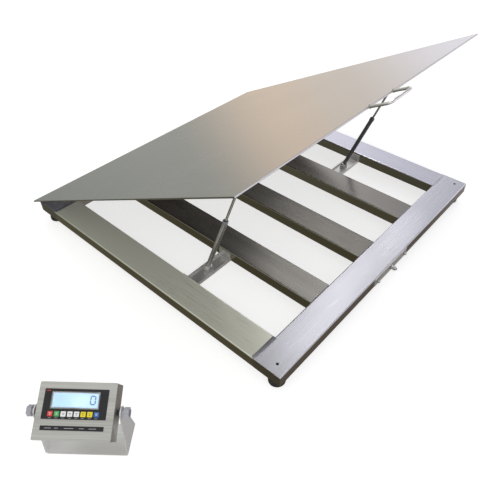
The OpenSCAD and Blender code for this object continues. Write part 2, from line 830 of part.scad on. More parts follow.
front_channel();
rear_channel();
beam(-2);  // left_outer_beam
beam(-1);  // left_inner_beam
beam(0);  // centre_beam
beam(1);  // right_inner_beam
beam(2);  // right_outer_beam
cell_mount_plates();
load_cells();
cell_bolts();
foot_lock_nuts();
sensor_leads();
junction_box();
junction_board();
access_panel();
panel_screws();
outlet_gland();
strut_brackets();
strut_foot_pins();
hinge_frame_leaves();
hinge_pins();
foot_stud(LEFT, FRONT);  // foot_stud_front_left
foot_stud(RIGHT, FRONT);  // foot_stud_front_right
foot_stud(LEFT, REAR);  // foot_stud_rear_left
foot_stud(RIGHT, REAR);  // foot_stud_rear_right
foot_pad(LEFT, FRONT);  // foot_pad_front_left
foot_pad(RIGHT, FRONT);  // foot_pad_front_right
foot_pad(LEFT, REAR);  // foot_pad_rear_left
foot_pad(RIGHT, REAR);  // foot_pad_rear_right
deck_plate();
hinge_deck_leaves();
lift_handle();
strut_deck_brackets();
strut_cylinder(LEFT);  // strut_cylinder_left
strut_cylinder(RIGHT);  // strut_cylinder_right
strut_collar(LEFT);  // strut_collar_left
strut_collar(RIGHT);  // strut_collar_right
strut_rod(LEFT);  // strut_rod_left
strut_rod(RIGHT);  // strut_rod_right
indicator_stand();
tilt_knob(LEFT);  // tilt_knob_left
tilt_knob(RIGHT);  // tilt_knob_right
tilt_washers();
indicator_housing();
indicator_back();
back_screws();
indicator_gasket();
keypad_panel();
display_window();
display_module();
main_board();
battery();
indicator_gland();
key(1);  // key_1
key(2);  // key_2
key(3);  // key_3
key(4);  // key_4
key(5);  // key_5
key(6);  // key_6
key(7);  // key_7
key(8);  // key_8
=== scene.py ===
"""Looks of the lift-deck pallet scale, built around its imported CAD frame."""

import math

import bmesh
import bpy
from mathutils import Matrix, Vector


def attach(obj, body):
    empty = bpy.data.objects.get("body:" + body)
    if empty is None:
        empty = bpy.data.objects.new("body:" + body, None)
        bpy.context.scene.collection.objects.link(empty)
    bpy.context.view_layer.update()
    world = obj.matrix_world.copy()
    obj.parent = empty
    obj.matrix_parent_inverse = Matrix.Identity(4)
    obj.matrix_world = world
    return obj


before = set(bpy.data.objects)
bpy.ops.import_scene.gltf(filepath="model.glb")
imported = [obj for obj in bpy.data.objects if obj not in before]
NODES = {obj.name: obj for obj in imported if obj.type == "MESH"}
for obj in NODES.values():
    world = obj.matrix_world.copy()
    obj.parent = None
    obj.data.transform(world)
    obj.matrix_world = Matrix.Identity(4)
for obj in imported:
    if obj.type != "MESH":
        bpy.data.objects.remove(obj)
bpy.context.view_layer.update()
MM = 0.001
SHARP_ANGLE = math.radians(40)

# ---------------------------------------------------------------- camera

CAMERA_AT = Vector((-1.200, -1.052, 1.278))
CAMERA_YAW = 50.15
CAMERA_PITCH = 42.37
CAMERA_ROLL = 0.74
CAMERA_LENS = 36.27
CAMERA_SHIFT = (-0.0368, -0.0186)


def make_camera():
    """The photograph's viewpoint: yaw from +Y towards +X, pitch downwards."""
    yaw, pitch, roll = (math.radians(a) for a in (CAMERA_YAW, CAMERA_PITCH, CAMERA_ROLL))
    level = math.cos(pitch)
    forward = Vector((level * math.sin(yaw), level * math.cos(yaw), -math.sin(pitch)))
    right = Vector((math.cos(yaw), -math.sin(yaw), 0))
    up = right.cross(forward)
    side = right * math.cos(roll) + up * math.sin(roll)
    top = up * math.cos(roll) - right * math.sin(roll)
    turn = Matrix((side, top, -forward)).transposed()
    data = bpy.data.cameras.new("camera")
    data.lens = CAMERA_LENS
    data.shift_x, data.shift_y = CAMERA_SHIFT
    data.clip_end = 200
    camera = bpy.data.objects.new("camera", data)
    camera.matrix_world = Matrix.Translation(CAMERA_AT) @ turn.to_4x4()
    bpy.context.scene.collection.objects.link(camera)
    bpy.context.scene.camera = camera


make_camera()

# ---------------------------------------------------------------- node helpers


class Shader:
    """A material under construction: one Principled shader and short calls for its nodes."""

    def __init__(self, name, color, metallic, rough):
        self.mat = bpy.data.materials.new(name)
        self.mat.use_nodes = True
        self.tree = self.mat.node_tree
        self.bsdf = self.tree.nodes["Principled BSDF"]
        self.set("Base Color", (*color, 1))
        self.set("Metallic", metallic)
        self.set("Roughness", rough)
        self.mat.diffuse_color = (*color, 1)

    def set(self, socket, value):
        self.bsdf.inputs[socket].default_value = value

    def node(self, kind, **values):
        n = self.tree.nodes.new("ShaderNode" + kind)
        for key, value in values.items():
            setattr(n, key, value)
        return n

    def link(self, out, into):
        self.tree.links.new(out, into)
        return out

    def feed(self, out, socket):
        self.link(out, self.bsdf.inputs[socket])

    def place(self, scale=(1, 1, 1), turn=(0, 0, 0)):
        """Object coordinates, in metres, turned and then stretched by scale."""
        at = self.node("TexCoord").outputs["Object"]
        for socket, value, plain in (("Rotation", turn, (0, 0, 0)), ("Scale", scale, (1, 1, 1))):
            if tuple(value) != plain:
                mapping = self.node("Mapping")
                mapping.inputs[socket].default_value = value
                self.link(at, mapping.inputs["Vector"])
                at = mapping.outputs["Vector"]
        return at

    def noise(self, at, scale, detail=3.0, rough=0.55):
        n = self.node("TexNoise")
        n.inputs["Scale"].default_value = scale
        n.inputs["Detail"].default_value = detail
        n.inputs["Roughness"].default_value = rough
        self.link(at, n.inputs["Vector"])
        return n.outputs["Fac"]

    def span(self, value, low, high, to_low=0.0, to_high=1.0):
        """Maps low..high onto to_low..to_high and holds it at both ends."""
        n = self.node("MapRange")
        ends = {"From Min": low, "From Max": high, "To Min": to_low, "To Max": to_high}
        for socket, v in ends.items():
            n.inputs[socket].default_value = v
        self.link(value, n.inputs["Value"])
        return n.outputs["Result"]

    def math(self, kind, a, b):
        n = self.node("Math", operation=kind)
        for i, v in enumerate((a, b)):
            if isinstance(v, (int, float)):
                n.inputs[i].default_value = v
            else:
                self.link(v, n.inputs[i])
        return n.outputs[0]

    def mix(self, fac, a, b):
        """Blends two colours; each is a tuple or another node's output."""
        n = self.node("Mix", data_type="RGBA")
        self.link(fac, n.inputs["Factor"])
        for socket, v in ((n.inputs[6], a), (n.inputs[7], b)):
            if isinstance(v, tuple):
                socket.default_value = (*v, 1)
            else:
                self.link(v, socket)
        return n.outputs[2]

    def bump(self, height, distance, strength):
        n = self.node("Bump")
        n.inputs["Distance"].default_value = distance
        n.inputs["Strength"].default_value = strength
        self.link(height, n.inputs["Height"])
        self.feed(n.outputs["Normal"], "Normal")


GRAIN_LENGTH, STREAK_LENGTH = 0.012, 0.03
STREAK_SCALE, PATCH_SCALE = 30.0, 2.6
LINE_SHARE, STREAK_SHARE, PATCH_SHARE = 0.45, 0.20, 0.35
BLOTCH = 0.025


def steel(name, color, rough, grain, aniso, fine=700.0, dark=0.80, turn=0.0, metallic=1.0,
          side_shading=None, facing=(0.35, 0.85)):
    """Brushed stainless: fine grain and long faint streaks along one axis, and broad soft patches.

    grain is the brushing axis, X or Y, and turn swings it about Z by that many degrees. dark is how dark the
    grain's low tones are. side_shading is painted shade: the colour given, by face direction alone, to the
    faces that don't look up on the object itself;
    facing gives the heights of the face's normal between which this painted shade changes into the brushed
    colour.
    """
    s = Shader(name, color, metallic, rough)
    axis = "XY".index(grain)
    angle = math.radians(turn)
    along = [1.0, 1.0, 1.0]
    along[axis] = GRAIN_LENGTH
    lines = s.noise(s.place(along, (0, 0, angle)), fine, 4.0, 0.7)
    along[axis] = STREAK_LENGTH
    streaks = s.noise(s.place(along, (0, 0, angle)), STREAK_SCALE, 1.5, 0.5)
    patches = s.noise(s.place(), PATCH_SCALE, 3.0, 0.5)
    tone = s.math("ADD", s.math("MULTIPLY", lines, LINE_SHARE), s.math("MULTIPLY", streaks, STREAK_SHARE))
    tone = s.math("ADD", tone, s.math("MULTIPLY", patches, PATCH_SHARE))
    shade = s.span(tone, 0.36, 0.64, 0.0, 1.0)
    tint = s.mix(shade, tuple(c * dark for c in color), color)
    # Painted shade: faces that don't look up on the object take the side colour in place of the brushed one,
    # by their direction alone.
    if side_shading:
        normal = s.node("SeparateXYZ")
        s.link(s.node("TexCoord").outputs["Normal"], normal.inputs[0])
        top = s.span(normal.outputs["Z"], *facing)
        tint = s.mix(top, side_shading, tint)
        s.feed(s.span(top, 0.0, 1.0, 1.0, metallic), "Metallic")
    s.feed(tint, "Base Color")
    worn_lines = s.span(streaks, 0.3, 0.7, -0.01, 0.01)
    worn = s.math("ADD", worn_lines, s.span(patches, 0.3, 0.7, -BLOTCH, BLOTCH))
    fine_rough = s.math("ADD", worn, s.span(lines, 0.3, 0.7, rough - 0.02, rough + 0.03))
    s.feed(fine_rough, "Roughness")
    s.bump(lines, 0.00001, 0.4)
    s.set("Anisotropic", aniso)
    direction = s.node("CombineXYZ")
    way = (math.cos(angle), -math.sin(angle), 0) if grain == "X" else (0, 1, 0)
    for i, v in enumerate(way):
        direction.inputs[i].default_value = v
    s.feed(direction.outputs[0], "Tangent")
    return s


def plastic(name, color, rough, grain=0.00008, spread=0.12):
    """Moulded plastic with a fine sparked texture, faint tone changes and a little dust in the roughness."""
    s = Shader(name, color, 0.0, rough)
    texture = s.noise(s.place(), 900.0, 2.0)
    patches = s.noise(s.place(), 30.0, 3.0)
    dim = tuple(c * (1 - spread) for c in color)
    s.feed(s.mix(s.span(patches, 0.3, 0.7), dim, color), "Base Color")
    s.feed(s.span(s.noise(s.place(), 60.0, 4.0), 0.3, 0.7, rough - 0.06, rough + 0.08), "Roughness")
    s.bump(texture, grain, 0.5)
    return s


def rubber(name, color=(0.018, 0.018, 0.019)):
    """Dull rubber with a fine pebble and pale scuffs low down."""
    s = Shader(name, color, 0.0, 0.75)
    pebble = s.noise(s.place(), 650.0, 3.0)
    scuff = s.noise(s.place((1, 1, 4)), 55.0, 4.0)
    s.feed(s.mix(s.span(scuff, 0.50, 0.78), color, (0.075, 0.072, 0.068)), "Base Color")
    s.feed(s.span(pebble, 0.3, 0.7, 0.62, 0.86), "Roughness")
    s.bump(pebble, 0.00025, 0.7)
    return s


def polished(name, color, rough):
    """Bright turned or polished steel with faint marks round it."""
    s = Shader(name, color, 1.0, rough)
    marks = s.noise(s.place((1, 1, 6)), 300.0, 3.0)
    smudge = s.noise(s.place(), 28.0, 3.0)
    dim = tuple(c * 0.86 for c in color)
    s.feed(s.mix(s.span(smudge, 0.3, 0.75), dim, color), "Base Color")
    s.feed(s.span(marks, 0.3, 0.7, rough - 0.04, rough + 0.10), "Roughness")
    s.bump(marks, 0.00003, 0.5)
    return s


def paint(name, color, rough):
    """Sprayed enamel with fine orange peel and light rubs."""
    s = Shader(name, color, 0.0, rough)
    peel = s.noise(s.place(), 380.0, 2.0)
    rub = s.noise(s.place((1, 1, 5)), 90.0, 4.0)
    rubbed = tuple(min(1, c * 1.5 + 0.03) for c in color)
    s.feed(s.mix(s.span(rub, 0.55, 0.80), color, rubbed), "Base Color")
    s.feed(s.span(rub, 0.35, 0.7, rough - 0.05, rough + 0.15), "Roughness")
    s.bump(peel, 0.00008, 0.4)
    s.set("Coat Weight", 0.25)
    s.set("Coat Roughness", 0.2)
    return s


def circuit(name):
    """Solder-masked board: green with copper runs under the mask."""
    s = Shader(name, (0.02, 0.16, 0.06), 0.0, 0.35)
    tracks = s.node("TexBrick")
    tracks.inputs["Scale"].default_value = 90
    tracks.inputs["Mortar Size"].default_value = 0.03
    tracks.inputs["Color1"].default_value = (0.015, 0.15, 0.055, 1)
    tracks.inputs["Color2"].default_value = (0.02, 0.19, 0.07, 1)
    tracks.inputs["Mortar"].default_value = (0.05, 0.30, 0.12, 1)
    s.link(s.place(), tracks.inputs["Vector"])
    s.feed(tracks.outputs["Color"], "Base Color")
    s.feed(s.span(s.noise(s.place(), 120.0), 0.3, 0.7, 0.28, 0.45), "Roughness")
    s.bump(tracks.outputs["Fac"], 0.0001, 0.5)
    return s


def glass(name):
    """Clear display window with a faint haze."""
    s = Shader(name, (0.93, 0.96, 1.0), 0.0, 0.06)
    s.set("Transmission Weight", 1.0)
    s.set("IOR", 1.45)
    s.feed(s.span(s.noise(s.place(), 45.0), 0.3, 0.7, 0.03, 0.09), "Roughness")
    return s


def backlight(name, color=(0.36, 0.56, 0.82)):
    """Lit liquid-crystal panel: cool glow with a soft fall-off and a fine pixel weave."""
    s = Shader(name, color, 0.0, 0.35)
    soft = s.noise(s.place(), 9.0, 1.0)
    tone = s.mix(s.span(soft, 0.3, 0.7), color, (0.56, 0.74, 0.94))
    s.feed(tone, "Base Color")
    s.feed(tone, "Emission Color")
    s.set("Emission Strength", 0.40)
    s.feed(s.span(s.noise(s.place(), 800.0), 0.3, 0.7, 0.3, 0.42), "Roughness")
    return s


# ---------------------------------------------------------------- mesh helpers


def new_piece(name, bm, body, material):
    """Turns bm, in metres from the platform's centre on the floor, into a piece that rides on a CAD body."""
    mesh = bpy.data.meshes.new(name)
    bmesh.ops.recalc_face_normals(bm, faces=bm.faces)
    bm.to_mesh(mesh)
    bm.free()
    piece = bpy.data.objects.new(name, mesh)
    bpy.context.scene.collection.objects.link(piece)
    mesh.materials.append(material.mat)
    mesh.shade_smooth()
    mesh.set_sharp_from_angle(angle=SHARP_ANGLE)
    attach(piece, body)


def lathe(bm, profile, place, segments=48):
    """Adds a ring surface: profile is (radius, height) points, closed on its axis where radius is 0."""
    rings = []
    for radius, height in profile:
        if radius < 1e-9:
            rings.append([bm.verts.new(place @ Vector((0, 0, height)))])
            continue
        turn = 2 * math.pi / segments
        rings.append([
            bm.verts.new(place @ Vector((radius * math.cos(i * turn), radius * math.sin(i * turn), height)))
            for i in range(segments)
        ])
    for low, high in zip(rings, rings[1:]):
        for i in range(segments):
            j = (i + 1) % segments
            corners = [low[i % len(low)], low[j % len(low)], high[j % len(high)], high[i % len(high)]]
            face = list(dict.fromkeys(corners))
            if len(face) > 2:
                bm.faces.new(face)


def tube(bm, points, radius, segments):
    """Adds a round bar with closed ends along points."""
    points = [Vector(p) for p in points]
    rings = []
    for i, p in enumerate(points):
        way = (points[min(i + 1, len(points) - 1)] - points[max(i - 1, 0)]).normalized()
        side = way.orthogonal().normalized() if i == 0 else (side - way * side.dot(way)).normalized()
        other = way.cross(side)
        turn = 2 * math.pi / segments
        rings.append([
            bm.verts.new(p + radius * (math.cos(k * turn) * side + math.sin(k * turn) * other))
            for k in range(segments)
        ])
    for low, high in zip(rings, rings[1:]):
        for k in range(segments):
            bm.faces.new((low[k], low[(k + 1) % segments], high[(k + 1) % segments], high[k]))
    bm.faces.new(rings[0][::-1])
    bm.faces.new(rings[-1])


def block(bm, size, place, bevel, segments=2):
    """Adds a box of that size, centred on place, with edges rounded by bevel mm."""
    made = bmesh.ops.create_cube(bm, size=1.0, matrix=place @ Matrix.Diagonal((*size, 1)))
    edges = list({e for v in made["verts"] for e in v.link_edges})
    bmesh.ops.bevel(bm, geom=edges, offset=bevel * MM, segments=segments, profile=0.5, affect="EDGES")


def soften(node, width, segments=2):
    """Rounds a CAD node's sharp edges by width mm with modifiers, leaving its mesh as it is."""
    o = NODES[node]
    weld = o.modifiers.new("weld", "WELD")
    weld.merge_threshold = 1e-6
    bevel = o.modifiers.new("bevel", "BEVEL")
    bevel.width = width * MM
    bevel.segments = segments
    bevel.limit_method = "ANGLE"
    bevel.angle_limit = SHARP_ANGLE
    bevel.use_clamp_overlap = True
    bevel.harden_normals = True


def dress(material, *names):
    """Gives CAD nodes a material in place of their own."""
    for n in names:
        o = NODES[n]
        o.data.materials.clear()
        o.data.materials.append(material.mat)


# ---------------------------------------------------------------- materials

# Painted shade: each side colour below darkens or lightens the faces that don't look up, the deck's dark
# underside among them, by direction alone.
DECK = steel("deck_steel", (0.62, 0.61, 0.60), 0.25, "Y", 0.5, dark=0.93,
             side_shading=(0.22, 0.21, 0.20), facing=(-0.6, -0.2))
FRONT = steel("front_steel", (0.76, 0.76, 0.83), 0.25, "X", 0.4, dark=0.94, metallic=0.85,
              side_shading=(0.42, 0.40, 0.36))
# Painted light and shade: the beams are one steel, coloured dark on the inner beams, light cream on the near
# outer beam and light lilac on the far one, standing in for the reflections each shows from the camera.
BEAM_PAINTED_SHADE = steel("beam_steel", (0.37, 0.355, 0.33), 0.24, "Y", 0.4, dark=0.90, side_shading=(0.42, 0.40, 0.33))
NEAR_BEAM_PAINTED_LIGHT = steel("near_beam_steel", (0.75, 0.76, 0.65), 0.30, "Y", 0.4, dark=0.96, metallic=0.50,
                  side_shading=(0.55, 0.52, 0.42))
FAR_BEAM_PAINTED_REFLECTION = steel("far_beam_steel", (0.80, 0.80, 0.90), 0.26, "Y", 0.4, dark=0.94, metallic=0.85,
                 side_shading=(0.30, 0.28, 0.22))
BRACKET = steel("bracket_steel", (0.72, 0.71, 0.69), 0.28, "X", 0.4, dark=0.90, metallic=0.75)
INDICATOR_GRAIN = 51
HOUSING = steel("housing_steel", (0.74, 0.73, 0.70), 0.30, "X", 0.5, fine=260, dark=0.64,
                turn=INDICATOR_GRAIN, metallic=0.85)
STAND = steel("stand_steel", (0.80, 0.80, 0.79), 0.30, "X", 0.4, fine=260, dark=0.90,
              turn=INDICATOR_GRAIN, metallic=0.45)
CELL = steel("cell_steel", (0.62, 0.63, 0.65), 0.30, "X", 0.3)
WELD = steel("weld_bead", (0.50, 0.49, 0.46), 0.36, "X", 0.0, fine=1500, dark=0.7)
GROUND = steel("ground_weld", (0.70, 0.70, 0.75), 0.34, "X", 0.3, fine=900, dark=0.88, metallic=0.8)
BOLT = polished("bolt_steel", (0.70, 0.70, 0.72), 0.22)
CHROME = polished("rod_chrome", (0.82, 0.82, 0.84), 0.08)
HANDLE = polished("handle_steel", (0.84, 0.83, 0.81), 0.14)
STRUT_GREY = polished("strut_grey", (0.60, 0.61, 0.63), 0.26)
STRUT_BLACK = paint("strut_black", (0.05, 0.05, 0.055), 0.26)
COLLAR = paint("collar_grey", (0.16, 0.165, 0.17), 0.30)
RUBBER = rubber("foot_rubber")
SHEATH = rubber("lead_sheath", (0.02, 0.02, 0.022))
BOARD = circuit("board_green")
KNOB = plastic("knob_grey", (0.42, 0.42, 0.46), 0.42)
PANEL = plastic("faceplate_black", (0.012, 0.012, 0.015), 0.28, 0.00003)
WINDOW = glass("window_clear")
LCD = backlight("display_blue")
CASE = plastic("battery_case", (0.10, 0.105, 0.12), 0.5)
GLAND = plastic("gland_black", (0.02, 0.02, 0.022), 0.45)
INK = plastic("display_figure_ink", (0.10, 0.17, 0.26), 0.4, 0.00002)
CAP = plastic("knob_cap", (0.20, 0.20, 0.22), 0.4)
FOIL = steel("rating_foil", (0.72, 0.73, 0.75), 0.4, "X", 0.2, dark=0.92)
KEYS = {
    "red": plastic("key_red", (0.72, 0.06, 0.05), 0.38),
    "green": plastic("key_green", (0.08, 0.42, 0.12), 0.38),
    "white": plastic("key_white", (0.86, 0.86, 0.86), 0.38, spread=0.05),
    "yellow": plastic("key_yellow", (0.90, 0.74, 0.03), 0.38),
    "blue": plastic("key_blue", (0.04, 0.15, 0.42), 0.38),
}
KEY_ORDER = ["red", "green", "white", "white", "white", "yellow", "yellow", "blue"]

SIDES = ("left", "right")
CORNERS = [f"{end}_{side}" for end in ("front", "rear") for side in SIDES]

dress(DECK, "deck_plate")
dress(FRONT, "front_channel", "rear_channel")
dress(BEAM_PAINTED_SHADE, "left_inner_beam", "centre_beam", "right_inner_beam")
dress(NEAR_BEAM_PAINTED_LIGHT, "left_outer_beam")
dress(FAR_BEAM_PAINTED_REFLECTION, "right_outer_beam")
dress(BRACKET, "strut_brackets", "strut_deck_brackets", "hinge_frame_leaves", "hinge_deck_leaves",
      "junction_box", "cell_mount_plates", "access_panel")
dress(CELL, "load_cells")
dress(BOLT, "cell_bolts", "foot_lock_nuts", "panel_screws", "outlet_gland", "strut_foot_pins", "hinge_pins",
      "back_screws", *(f"foot_stud_{c}" for c in CORNERS))
dress(HANDLE, "lift_handle")
dress(CHROME, "strut_rod_left", "strut_rod_right")
dress(STRUT_GREY, "strut_cylinder_left")
dress(COLLAR, "strut_collar_left")
dress(STRUT_BLACK, "strut_cylinder_right", "strut_collar_right")
dress(RUBBER, "indicator_gasket", *(f"foot_pad_{c}" for c in CORNERS))
dress(SHEATH, "sensor_leads")
dress(BOARD, "junction_board", "main_board")
dress(STAND, "indicator_stand")
dress(HOUSING, "indicator_housing", "indicator_back")
dress(KNOB, "tilt_knob_left", "tilt_knob_right")
dress(PANEL, "keypad_panel")
dress(WINDOW, "display_window")
dress(LCD, "display_module")
dress(CASE, "battery")
dress(GLAND, "indicator_gland", "tilt_washers")
for number, colour in enumerate(KEY_ORDER, 1):
    dress(KEYS[colour], f"key_{number}")

# ---------------------------------------------------------------- frames of the parts, in mm

# The deck stands open at rest. The strut's pivots are given as (y, z) in that pose.
OPEN = math.radians(27.5)
HINGE = Vector((0, 604.5, 71))
HALF = 595
CHANNEL_WIDTH = 100
BEAM_PITCH, BEAM_HALF = 272.5, 50
FRAME_BOTTOM, FRAME_TOP, FRAME_MIDDLE = 40, 80, 60
STRUT_X = 408.75
STRUT_RUN = 1025
STRUT_FOOT = (-126, 60.5)
STRUT_HEAD = (-310.7, 532.8)
CELL_X, CELL_Y = 563, 559
STAND_AT, STAND_TURN, TILT_Z, HEAD_TILT = (-1015, -304, 0), -51, 140, -64


def shift(*at):
    return Matrix.Translation(at)


def spin(degrees, axis):
    return Matrix.Rotation(math.radians(degrees), 4, axis)


BASE = Matrix.Scale(MM, 4)
DECK_FRAME = BASE @ Matrix.Translation(HINGE) @ Matrix.Rotation(-OPEN, 4, "X") @ Matrix.Translation(-HINGE)
STAND_FRAME = BASE @ shift(*STAND_AT) @ spin(STAND_TURN, "Z")
HEAD_FRAME = STAND_FRAME @ shift(0, 0, TILT_Z) @ spin(HEAD_TILT, "X")
SIGNS = (-1, 1)


def strut_frame(sign):
    """Origin at the strut's lower pivot, Z along the strut."""
    rise, run = STRUT_HEAD[1] - STRUT_FOOT[1], STRUT_HEAD[0] - STRUT_FOOT[0]
    lean = math.degrees(math.atan2(rise, run)) - 90
    return BASE @ shift(sign * STRUT_X, *STRUT_FOOT) @ spin(lean, "X")


STRUT_LENGTH = math.hypot(STRUT_HEAD[0] - STRUT_FOOT[0], STRUT_HEAD[1] - STRUT_FOOT[1])

# ---------------------------------------------------------------- detail pieces

RING_STEPS = 10
BEAD_PITCH, BEAD_STEPS, BEAD_SIDES = 3.0, 4, 10


def ring(bm, place, major, minor, segments=32):
    """Adds a round ring about place's Z axis."""
    profile = [
        (major + minor * math.cos(a), minor * math.sin(a))
        for a in (2 * math.pi * k / RING_STEPS for k in range(RING_STEPS + 1))
    ]
    lathe(bm, profile, place, segments)
    bmesh.ops.remove_doubles(bm, verts=bm.verts, dist=1e-7)


def bead(bm, place, start, end, radius):
    """Adds a rippled weld bead between two points of place."""
    start, end = Vector(start), Vector(end)
    steps = max(BEAD_STEPS, int((end - start).length / BEAD_PITCH * BEAD_STEPS))
    rings = []
    way = (end - start).normalized()
    side = way.orthogonal().normalized()
    other = way.cross(side)
    for i in range(steps + 1):
        ripple = 0.86 + 0.14 * math.cos(2 * math.pi * i / BEAD_STEPS)
        swell = radius * ripple * (0.35 if i in (0, steps) else 1)
        p = start.lerp(end, i / steps)
        rings.append([
            bm.verts.new(place @ (p + swell * (math.cos(a) * side + math.sin(a) * other)))
            for a in (k * math.pi / 5 for k in range(BEAD_SIDES))
        ])
    for low, high in zip(rings, rings[1:]):
        for k in range(BEAD_SIDES):
            j = (k + 1) % BEAD_SIDES
            bm.faces.new((low[k], low[j], high[j], high[k]))
    bm.faces.new(rings[0][::-1])
    bm.faces.new(rings[-1])


TOP_BEAD_HALF, TOP_BEAD_Z, GROUND_WELD = 49, 78.8, (96, 14, 0.5)
BRACKET_HALF, BRACKET_EDGES, BRACKET_BEAD = 85.5, (-149, -100), (45, 72)
EAR_OUTSIDE, EAR_EDGES, EAR_TACK = 12.6, (-135, -117), (44.6, 45.4)
EAR_FOOT, EAR_FOOT_Z = 12.4, 44.4
HINGE_PLACES, LEAF_HALF, LEAF_Y, LEAF_Z = (-450, 0, 450), 44, 598, 46.4
HEAD_BRACKET_X, SIDE_BEAD_HALF = 20.4, 24
HEAD_BRACKET_Y, END_BEAD_HALF, DECK_BEAD_Z = 25.4, 19, 79.6
HANDLE_X, HANDLE_HALF, HANDLE_Y, HANDLE_Z = -24, 62, -610.2, 82.9


def make_frame_welds():
    """Beads where the beams meet the channels, round the strut brackets and at the hinges."""
    beads, ground = bmesh.new(), bmesh.new()
    for step in range(-2, 3):
        x = step * BEAM_PITCH
        outer = abs(step) == 2
        for end in SIGNS:
            y = end * (HALF - CHANNEL_WIDTH)
            if outer:
                block(ground, GROUND_WELD, BASE @ shift(x, y, FRAME_TOP), 0.12)
            else:
                ends = [(x + s * TOP_BEAD_HALF, y, TOP_BEAD_Z) for s in SIGNS]
                bead(beads, BASE, *ends, 1.4)
            for s in SIGNS:
                if not (outer and s * step > 0):
                    edge = x + s * BEAM_HALF
                    bead(beads, BASE, (edge, y, FRAME_BOTTOM + 3), (edge, y, FRAME_TOP - 3), 1.8)
    for sign in SIGNS:
        x = sign * STRUT_X
        for s in SIGNS:
            edge = x + s * BRACKET_HALF
            for y in BRACKET_EDGES:
                bead(beads, BASE, *((edge, y, z) for z in BRACKET_BEAD), 1.3)
            ear = x + s * EAR_OUTSIDE
            for y in EAR_EDGES:
                bead(beads, BASE, (ear, y, EAR_TACK[0]), (ear, y + 0.1, EAR_TACK[1]), 1.6)
            foot = x + s * EAR_FOOT
            bead(beads, BASE, *((foot, y, EAR_FOOT_Z) for y in EAR_EDGES), 1.3)
    for x in HINGE_PLACES:
        bead(beads, BASE, *((x + s * LEAF_HALF, LEAF_Y, LEAF_Z) for s in SIGNS), 1.3)
    new_piece("frame_weld_beads", beads, "platform", WELD)
    new_piece("ground_corner_welds", ground, "platform", GROUND)


def make_deck_welds():
    """Beads round the struts' upper brackets and at the feet of the lift handle."""
    lid = bmesh.new()
    y, z = HINGE.y - STRUT_RUN, DECK_BEAD_Z
    for sign in SIGNS:
        middle = sign * STRUT_X
        for s in SIGNS:
            x, end = middle + s * HEAD_BRACKET_X, y + s * HEAD_BRACKET_Y
            bead(lid, DECK_FRAME, *((x, y + t * SIDE_BEAD_HALF, z) for t in SIGNS), 1.2)
            bead(lid, DECK_FRAME, *((middle + t * END_BEAD_HALF, end, z) for t in SIGNS), 1.2)
    for s in SIGNS:
        foot = shift(HANDLE_X + s * HANDLE_HALF, HANDLE_Y, HANDLE_Z) @ spin(90, "X")
        ring(lid, DECK_FRAME @ foot, 4.7, 1.5)
    new_piece("deck_weld_beads", lid, "deck", WELD)


SHADE_PLUG = [(0, 0), (3.9, 0), (3.9, 2.2), (3.4, 2.5), (2.2, 1.6), (0, 1.5)]
DOMED_HEAD = [(5.0, -0.2), (5.4, 0.4), (5.4, 3.6), (4.2, 5.4), (2.2, 6.2), (0, 6.4)]
SHADE_PLUG_Z, SHADE_PLUG_RIM_Z, GROMMET_Y = 77.6, 79.9, 496.5
SCREW_X, PANEL_FACE, SCREW_SEAT, GLAND_END = 88, -597.3, -600, -617
RIB_HEIGHTS, PAD_RADIUS = (5, 8, 11), 26.0
THREAD_TURNS, THREAD_START, THREAD_ROOT, THREAD_CREST = 5, 26.2, 5.95, 6.35


def make_corner_details():
    """Dark plugs sunk in the access holes over the foot adjusters, painted shade standing in for the dark of
    the holes, and grommets round the sensor leads.
    """
    shade_plugs, grommets = bmesh.new(), bmesh.new()
    for sx in SIGNS:
        for sy in SIGNS:
            x, y = sx * CELL_X, sy * CELL_Y
            # Painted shade: each dark plug fills an access hole so that the hole reads dark.
            lathe(shade_plugs, SHADE_PLUG, BASE @ shift(x, y, SHADE_PLUG_Z), 32)
            ring(shade_plugs, BASE @ shift(x, y, SHADE_PLUG_RIM_Z), 4.3, 0.4)
            lead = BASE @ shift(sx * BEAM_PITCH, sy * GROMMET_Y, FRAME_MIDDLE) @ spin(90, "X")
            ring(grommets, lead, 5.0, 1.9)
    new_piece("access_plugs", shade_plugs, "platform", SHEATH)
    new_piece("lead_grommets", grommets, "platform", SHEATH)


def make_panel_details():
    """Domed screw heads, dark rings at their feet that are painted shadow round the heads, a seal ring round
    the gland and the gland's lip on the access panel.
    """
    seal_and_shadow_rings, heads = bmesh.new(), bmesh.new()
    for s in SIGNS:
        # Painted shadow: the dark ring at each screw's foot stands for the shade round its head.
        ring(seal_and_shadow_rings, BASE @ shift(s * SCREW_X, PANEL_FACE, FRAME_MIDDLE) @ spin(90, "X"), 5.6, 0.6)
        lathe(heads, DOMED_HEAD, BASE @ shift(s * SCREW_X, SCREW_SEAT, FRAME_MIDDLE) @ spin(90, "X"), 32)
    new_piece("panel_screw_heads", heads, "platform", BOLT)
    ring(seal_and_shadow_rings, BASE @ shift(0, PANEL_FACE, FRAME_MIDDLE) @ spin(90, "X"), 9.0, 0.8)
    new_piece("panel_seal_rings", seal_and_shadow_rings, "platform", SHEATH)
    lip = bmesh.new()
    ring(lip, BASE @ shift(0, GLAND_END, FRAME_MIDDLE) @ spin(90, "X"), 3.6, 0.7)
    new_piece("gland_seal", lip, "platform", SHEATH)


